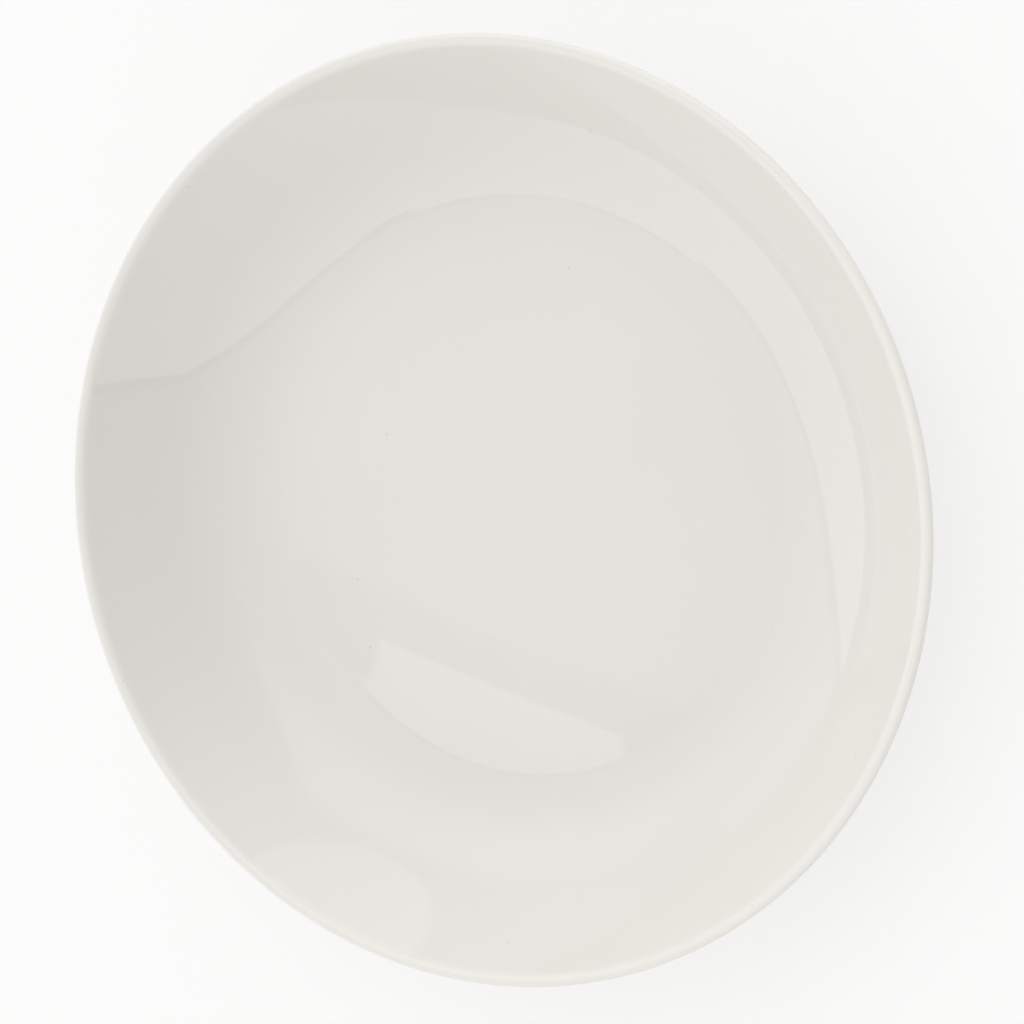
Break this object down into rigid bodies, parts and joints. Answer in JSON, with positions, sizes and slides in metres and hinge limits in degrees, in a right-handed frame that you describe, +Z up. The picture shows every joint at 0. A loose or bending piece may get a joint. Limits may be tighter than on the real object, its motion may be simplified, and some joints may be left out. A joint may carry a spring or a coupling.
{
  "type": "porcelain plate",
  "caption": "Round deep coupe plate of glazed white porcelain with a curved wall, thin rounded lip and unglazed foot ring, for serving food.",
  "frame": {"origin": "centre of the standing plane of the foot ring, on the plate's axis", "axes": "+Z up along the plate's axis, out of the dish; X and Y lie in the standing plane and are equal by symmetry"},
  "size_m": [0.26, 0.26, 0.0395],
  "materials": {
    "porcelain_body": "bare fired porcelain, fine grained and matte, seen only on the standing face of the foot ring",
    "glaze_coat": "smooth glossy clear glaze over warm white porcelain",
    "base_glaze": "glossy clear glaze, a little thinner and duller than on the front"
  },
  "bodies": {
    "root": {"porcelain_body": "porcelain_body", "glaze_coat": "glaze_coat", "base_glaze": "base_glaze"}
  },
  "joints": []
}
